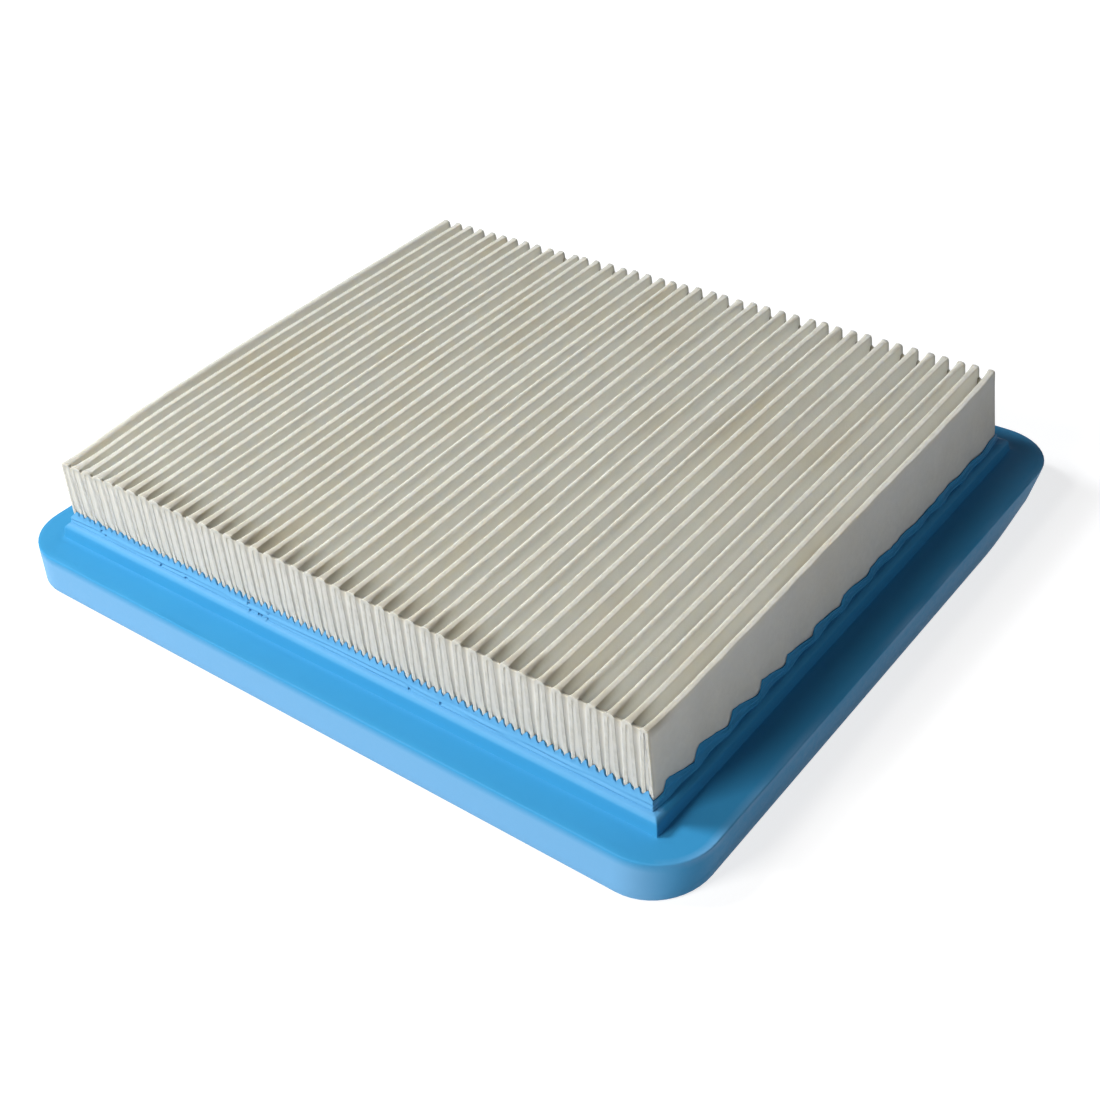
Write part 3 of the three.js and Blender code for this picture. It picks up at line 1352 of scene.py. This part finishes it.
class AIRFILTER_OT_frame_moulding(bpy.types.Operator):
    """Cast the polyurethane frame round the foot of the paper pack"""

    bl_idname = "airfilter.frame_moulding"
    bl_label = "Frame Moulding"

    def execute(self, context):
        sizes = context.scene.air_filter_frame
        folds = Folds(context.scene.air_filter_paper, sizes.lobe_spacing)
        moulding = Moulding(sizes, folds)
        stations = outline_stations(folds)
        rings = moulding.rings()
        bm = bmesh.new()
        number = bm.verts.layers.int.new("station")
        cast = bm.verts.layers.float.new("painted_sheen")
        first = [bm.verts.new(rings[0](station)) for station in stations]
        for index, vert in enumerate(first):
            vert[number] = index
        loop = []
        for index, vert in enumerate(first):
            loop.append(bm.edges.new((vert, first[(index + 1) % len(first)])))
        start = list(loop)
        for ring in rings[1:]:
            loop = grow(bm, loop, lambda vert, ring=ring: ring(stations[vert[number]]))
        bmesh.ops.bridge_loops(bm, edges=start + loop)
        top = sizes.flange_height
        for vert in bm.verts:
            # Painted sheen on the lit sides and end bands, and painted highlights on the right
            # upper edge.
            vert[cast] = moulding.painted_sheen_share(*vert.co)
            if top - 0.01 * MM < vert.co.z < top + 0.2 * MM:
                vert.co += soft_skin(vert.co)
        self.sink_bubbles(bm, sizes)
        bmesh.ops.recalc_face_normals(bm, faces=bm.faces)
        piece = add_piece("frame_moulding", bm, polyurethane_material(sizes))
        smooth_shading(piece, 42)
        finish_piece(piece, "polyurethane", "frame")
        return {"FINISHED"}

    def sink_bubbles(self, bm, sizes):
        """Burst bubbles: small deep pits along the crease and the front of the band."""
        chance = random.Random(BUBBLE_SEED)
        crease = sizes.ledge_height + CREASE_RISE
        bubbles = []
        for _ in range(sizes.bubbles):
            # Most of them lie left of the middle.
            x = between(-0.9, 0.75, chance.random() ** 1.6) * HALF_LENGTH
            z = crease + chance.choice(BUBBLE_HEIGHTS) * MM
            bubbles.append((x, z, chance.uniform(0.19, 0.27) * MM))
        for cuts, reach in ((2, 2.2), (2, 1.3)):
            near = {vert for vert in bm.verts if self.from_bubble(vert.co, bubbles) < reach}
            edges = [edge for edge in bm.edges if edge.verts[0] in near and edge.verts[1] in near]
            bmesh.ops.subdivide_edges(bm, edges=edges, cuts=cuts, use_grid_fill=True)
        for vert in bm.verts:
            off = self.from_bubble(vert.co, bubbles)
            if off < 1:
                vert.co.y += BUBBLE_DEPTH * math.sqrt(1 - off ** 3)

    def from_bubble(self, place, bubbles):
        """How many radii a place on the band's front lies from the nearest bubble."""
        if place.y > -HALF_WIDTH or not 8 * MM < place.z < 11 * MM:
            return math.inf
        return min(math.hypot(place.x - x, place.z - z) / radius for x, z, radius in bubbles)


# ---------------------------------------------------------------------------
# The paper and the glue
# ---------------------------------------------------------------------------


# How far in from the cut ends the paper gets painted shade, and how far the knife frayed it.
PAINTED_SHADE_DEPTH = 0.25 * MM
FRAYED_DEPTH = 0.5 * MM


def painted_shade_tone_share(y, z):
    """How much painted shade the paper gets: most on the ridges, just behind their front ends."""
    if y >= 0:
        return 0.0
    back = HALF_WIDTH - abs(y)
    high = ease((z - PACK_TOP + 1.2 * MM) / (1 * MM))
    return high * ease(back / (0.6 * MM)) * (1 - ease((back - 1.5 * MM) / (5 * MM)))


class AIRFILTER_OT_pleated_paper(bpy.types.Operator):
    """Fold the sheet of filter paper into its pleats"""

    bl_idname = "airfilter.pleated_paper"
    bl_label = "Pleated Paper"

    def execute(self, context):
        sizes = context.scene.air_filter_paper
        folds = Folds(sizes, context.scene.air_filter_frame.lobe_spacing)
        lines = sheet_lines(folds)
        bm = bmesh.new()
        bmesh.ops.create_grid(
            bm, x_segments=len(lines) - 1, y_segments=SHEET_ROWS - 1, size=1.0
        )
        crease = bm.verts.layers.float.new("crease")
        painted_shade_tone = bm.verts.layers.float.new("painted_shade_tone")
        cut = []
        for vert in bm.verts:
            column = round((vert.co.x + 1) / 2 * (len(lines) - 1))
            row = round((vert.co.y + 1) / 2 * (SHEET_ROWS - 1))
            y = row_place(row)
            line, painted_shade = lines[column]
            vert.co = line(y)
            # Painted shade: grey on the ridges, cut ends and outer walls, tan on ridges behind the
            # front ends.
            vert[crease] = max(painted_shade, folds.end_share(y, PAINTED_SHADE_DEPTH))
            vert[painted_shade_tone] = painted_shade_tone_share(y, vert.co.z)
            cut.append((vert.index, folds.end_share(y, FRAYED_DEPTH)))
        piece = add_piece("paper_pack", bm, filter_paper_material(sizes))
        group = piece.vertex_groups.new(name="cut_edge")
        for index, share in cut:
            group.add([index], share, "REPLACE")
        wall = piece.modifiers.new("Paper thickness", "SOLIDIFY")
        wall.thickness = sizes.cut_thickness
        wall.offset = 0.0
        wall.use_even_offset = True
        wall.use_quality_normals = True
        wall.vertex_group = "cut_edge"
        wall.thickness_vertex_group = sizes.thickness / sizes.cut_thickness
        bake_modifiers(piece)
        smooth_shading(piece, 50)
        finish_piece(piece, "filter_paper", "pleated_paper")
        return {"FINISHED"}


# The glue was wiped back this far, up to this height.
WIPED_DEPTH = 0.25 * MM
WIPED_HEIGHT = 10.8 * MM
# How much of the gap between two walls a finger of glue fills, either way from its middle.
FINGER_REACH = 0.46
# The places where a finger of glue between two pleats gets a ring, as shares of its depth.
FINGER_STEPS = (0.0, 0.1, 0.35, 0.5, 0.65, 0.8, 0.9, 1.0)


class GlueFinger:
    """The glue between two neighbouring walls of the sheet at one end of the pack."""

    def __init__(self, folds, left, right, end):
        self.folds = folds
        self.left = left
        self.right = right
        self.end = end
        self.hollow = 0.04 * MM
        self.top = folds.ridge_line - 0.35 * MM
        # Inside a fold the glue stands level. It has no fall, so its depth plays no part.
        self.fall = 0.0
        self.climb = 0.0
        self.depth = 1.0

    def lower_between_pleats(self, sizes, pleat):
        """Sets the glue that stands open between two pleats, which sank before it set."""
        folds = self.folds
        pressed = folds.pressed_share(pleat) if self.end < 0 else 0.0
        # It sank much further at the back, and most of all at the right.
        level = sizes.glue_level
        if self.end > 0:
            level += between(0.9, 1.7, pleat / folds.count) * MM
        self.hollow = between(0.22, 0.05, pressed) * MM
        self.top = PACK_TOP - level * (1 + 0.3 * wander(pleat * 3.3, self.end * 1.7))
        self.fall = 2.2 * MM
        self.climb = 0.8 * sizes.glue_level
        self.depth = sizes.glue_depth * (1 + 0.35 * wander(pleat * 1.7, self.end * 2.9))

    def point(self, across, share, back):
        """A place on the finger: across from wall to wall, up, and back into the pack."""
        folds = self.folds
        # Its top sags away from the ends and climbs both walls.
        sag = self.fall * ease(back / self.depth) ** 3 - self.climb * across ** 2
        z = between(BEAD_LOW.z, self.top - sag, share)
        # Low down the glue was wiped back, and the frame ran in over it.
        wiped = WIPED_DEPTH * (1 - ease((z - WIPED_HEIGHT) / (1.6 * MM)))
        lump = 0.04 * MM * wander(self.left[0] * 2.7 + self.left[1], z / (2.5 * MM), self.end * 3.3)
        inset = max((self.hollow + lump) * (1 - 1.7 * across ** 2), 0.02 * MM) + wiped
        y = self.end * (HALF_WIDTH - inset - back)
        level = max(z, folds.foot_line)
        left = folds.wall_point(*self.left, y, level)
        right = folds.wall_point(*self.right, y, level)
        point = left.lerp(right, 0.5 + FINGER_REACH * across)
        point.z += z - level
        return point


class AIRFILTER_OT_glue_beads(bpy.types.Operator):
    """Run the glue into the pleats at the front and the back"""

    bl_idname = "airfilter.glue_beads"
    bl_label = "Glue Beads"

    def execute(self, context):
        sizes = context.scene.air_filter_paper
        folds = Folds(sizes, context.scene.air_filter_frame.lobe_spacing)
        material = glue_material(sizes)
        depth = BEAD_HIGH.y - BEAD_LOW.y
        for name, end, node in (
            ("glue_bead_front", -1, "edge_bead_front"),
            ("glue_bead_rear", 1, "edge_bead_rear"),
        ):
            bm = bmesh.new()
            for pleat in range(folds.count):
                inner = GlueFinger(folds, (pleat, -1), (pleat, 1), end)
                self.add_finger(bm, inner, (0.0, depth))
                if pleat < folds.count - 1:
                    outer = GlueFinger(folds, (pleat, 1), (pleat + 1, -1), end)
                    outer.lower_between_pleats(sizes, pleat)
                    self.add_finger(bm, outer, [outer.depth * step for step in FINGER_STEPS])
            bmesh.ops.recalc_face_normals(bm, faces=bm.faces)
            piece = add_piece(name, bm, material)
            smooth_shading(piece, 60)
            finish_piece(piece, "adhesive", node)
        return {"FINISHED"}

    def add_finger(self, bm, finger, steps):
        """One finger of glue: its end face, grown back into the pack step by step."""
        across = bm.verts.layers.float.get("across") or bm.verts.layers.float.new("across")
        share = bm.verts.layers.float.get("share") or bm.verts.layers.float.new("share")
        upper = bm.verts.layers.float.get("upper") or bm.verts.layers.float.new("upper")
        face = bmesh.ops.create_grid(bm, x_segments=6, y_segments=16, size=1.0)["verts"]
        for vert in face:
            vert[across] = vert.co.x
            vert[share] = (vert.co.y + 1) / 2
            # The top face gets the painted shade.
            vert[upper] = float(vert[share] > 0.99)
            vert.co = finger.point(vert[across], vert[share], steps[0])
        edges = {edge for vert in face for edge in vert.link_edges if edge.is_boundary}
        loop = list(edges)
        for step in steps[1:]:
            loop = grow(
                bm, loop, lambda vert, step=step: finger.point(vert[across], vert[share], step)
            )
        bmesh.ops.contextual_create(bm, geom=loop)


# ---------------------------------------------------------------------------
# The stage
# ---------------------------------------------------------------------------


# Half the length of the floor's side, the place that the lamps face, and the width of the
# camera's sensor in millimetres.
FLOOR_REACH = 1.6
LAMP_AIM = Vector((0.0, 0.0, 0.01))
SENSOR_WIDTH = 36.0


class AIRFILTER_OT_studio(bpy.types.Operator):
    """Set up the floor, the soft lights, the white room and the camera"""

    bl_idname = "airfilter.studio"
    bl_label = "Studio"

    def execute(self, context):
        studio = context.scene.air_filter_studio
        self.add_floor()
        for name, power, size, place, hex_code in (
            ("Key light", studio.key_power, 0.42, (-0.36, -0.95, 0.66), "#FFFDFA"),
            ("Top light", studio.top_power, 0.15, (-0.42, -0.20, 0.54), "#FBFDFF"),
            ("Side card", studio.card_power, 0.1, (0.45, -0.42, 0.07), "#FFFFFF"),
        ):
            self.add_lamp(name, power, size, Vector(place), hex_code)
        self.add_room(context.scene, studio.sky)
        self.add_camera(context.scene, studio)
        context.scene.view_settings.view_transform = "Standard"
        return {"FINISHED"}

    def add_floor(self):
        """A board that the element stands on."""
        bm = bmesh.new()
        bmesh.ops.create_grid(bm, x_segments=8, y_segments=8, size=FLOOR_REACH)
        floor = add_piece("Floor", bm, floor_material())

    def add_lamp(self, name, power, size, place, hex_code):
        """A square soft light that faces the element."""
        lamp = bpy.data.lights.new(name, "AREA")
        lamp.energy = power
        lamp.size = size
        lamp.color = colour(hex_code)[:3]
        holder = bpy.data.objects.new(name, lamp)
        holder.location = place
        aim = LAMP_AIM - place
        holder.rotation_mode = "QUATERNION"
        holder.rotation_quaternion = aim.to_track_quat("-Z", "Y")
        bpy.context.scene.collection.objects.link(holder)

    def add_room(self, scene, strength):
        """An even room, white where it is seen and a dim blue to all other light."""
        world = bpy.data.worlds.new("White room")
        world.use_nodes = True
        tree = world.node_tree
        tree.nodes.clear()
        seen = seen_share(tree)
        level = add_node(
            tree,
            "ShaderNodeMapRange",
            {"To Min": strength, "To Max": 1.0},
            {"Value": seen},
        )
        tone = add_node(
            tree,
            "ShaderNodeMix",
            {"data_type": "RGBA", 6: colour("#C6D4FF"), 7: colour("#FFFFFF")},
            {0: seen},
        )
        glow = add_node(
            tree,
            "ShaderNodeBackground",
            None,
            {"Color": tone.outputs[2], "Strength": level.outputs["Result"]},
        )
        add_node(
            tree, "ShaderNodeOutputWorld", None, {"Surface": glow.outputs["Background"]}
        )
        scene.world = world

    def add_camera(self, scene, studio):
        """A camera that looks down on the front right corner."""
        lens = bpy.data.cameras.new("Camera")
        lens.lens = studio.lens
        lens.sensor_width = SENSOR_WIDTH
        lens.clip_start = 5 * MM
        lens.clip_end = 20.0
        camera = bpy.data.objects.new("Camera", lens)
        flat = math.cos(studio.elevation)
        look = Vector((
            -math.sin(studio.azimuth) * flat,
            math.cos(studio.azimuth) * flat,
            -math.sin(studio.elevation),
        ))
        camera.location = Vector(studio.aim) - look * studio.distance
        camera.rotation_mode = "QUATERNION"
        level = look.to_track_quat("-Z", "Y")
        camera.rotation_quaternion = level @ Quaternion((0.0, 0.0, 1.0), studio.roll)
        scene.collection.objects.link(camera)
        scene.camera = camera


# ---------------------------------------------------------------------------
# The add-on
# ---------------------------------------------------------------------------


class AIRFILTER_PT_sidebar(bpy.types.Panel):
    """The buttons and sizes in the 3D view's sidebar"""

    bl_idname = "AIRFILTER_PT_sidebar"
    bl_label = "Panel Air Filter"
    bl_space_type = "VIEW_3D"
    bl_region_type = "UI"
    bl_category = "Air Filter"

    def draw(self, context):
        layout = self.layout
        layout.use_property_split = True
        scene = context.scene
        for label, group, buttons in (
            ("Paper", scene.air_filter_paper, ("airfilter.pleated_paper", "airfilter.glue_beads")),
            ("Frame", scene.air_filter_frame, ("airfilter.frame_moulding",)),
            ("Studio", scene.air_filter_studio, ("airfilter.studio",)),
        ):
            box = layout.box()
            box.label(text=label)
            for name in group.bl_rna.properties.keys():
                if name not in {"rna_type", "name"}:
                    box.prop(group, name)
            for button in buttons:
                box.operator(button)


CLASSES = (
    PaperSizes,
    FrameSizes,
    StudioSizes,
    AIRFILTER_OT_frame_moulding,
    AIRFILTER_OT_pleated_paper,
    AIRFILTER_OT_glue_beads,
    AIRFILTER_OT_studio,
    AIRFILTER_PT_sidebar,
)


def register():
    for cls in CLASSES:
        bpy.utils.register_class(cls)
    bpy.types.Scene.air_filter_paper = bpy.props.PointerProperty(type=PaperSizes)
    bpy.types.Scene.air_filter_frame = bpy.props.PointerProperty(type=FrameSizes)
    bpy.types.Scene.air_filter_studio = bpy.props.PointerProperty(type=StudioSizes)


def unregister():
    del bpy.types.Scene.air_filter_studio
    del bpy.types.Scene.air_filter_frame
    del bpy.types.Scene.air_filter_paper
    for cls in reversed(CLASSES):
        bpy.utils.unregister_class(cls)


def main():
    register()
    bpy.ops.airfilter.frame_moulding()
    bpy.ops.airfilter.pleated_paper()
    bpy.ops.airfilter.glue_beads()
    bpy.ops.airfilter.studio()


if __name__ == "__main__":
    main()
